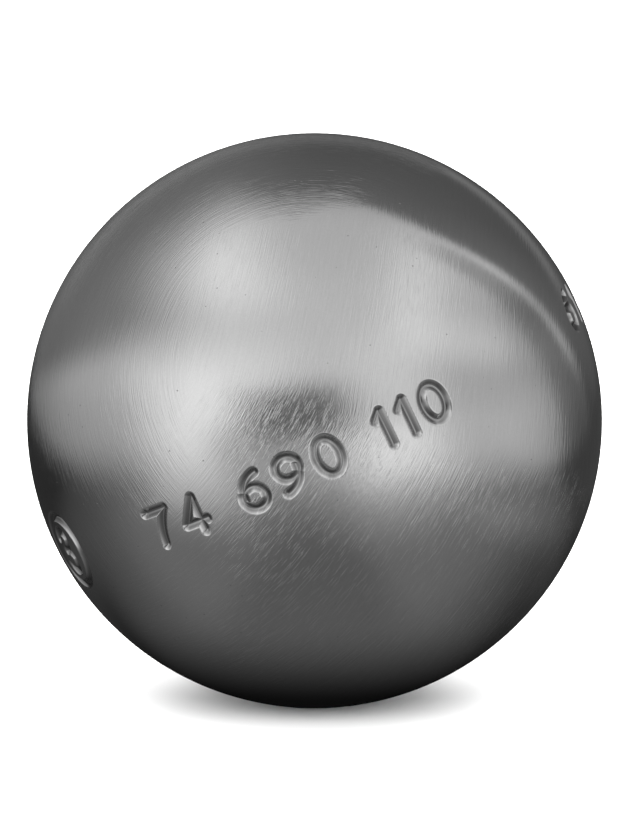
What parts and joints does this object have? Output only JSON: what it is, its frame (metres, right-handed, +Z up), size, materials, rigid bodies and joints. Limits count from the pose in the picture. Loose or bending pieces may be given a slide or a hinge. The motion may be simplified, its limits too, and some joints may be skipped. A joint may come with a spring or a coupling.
{
  "type": "petanque boule",
  "caption": "Hollow brushed-steel boule for throwing: half shells centred on a spigot and joined by a weld turned flush, with plain engraved numbers",
  "frame": {"origin": "the centre of the ball", "axes": "+Z up as the boule lies in the picture, -Y towards the viewer with the size numbers, +X to the right; the circle of the marks has its axis in the XZ plane, leaning 25.5 degrees to -X"},
  "size_m": [0.074, 0.074, 0.074],
  "materials": {
    "shell_steel": "stainless steel, turned and brushed in crossing circular strokes",
    "weld_steel": "stainless filler, turned flush and brushed with the shells"
  },
  "bodies": {
    "root": {"front_half_shell": "shell_steel", "rear_half_shell": "shell_steel", "weld_bead": "weld_steel"}
  },
  "joints": []
}
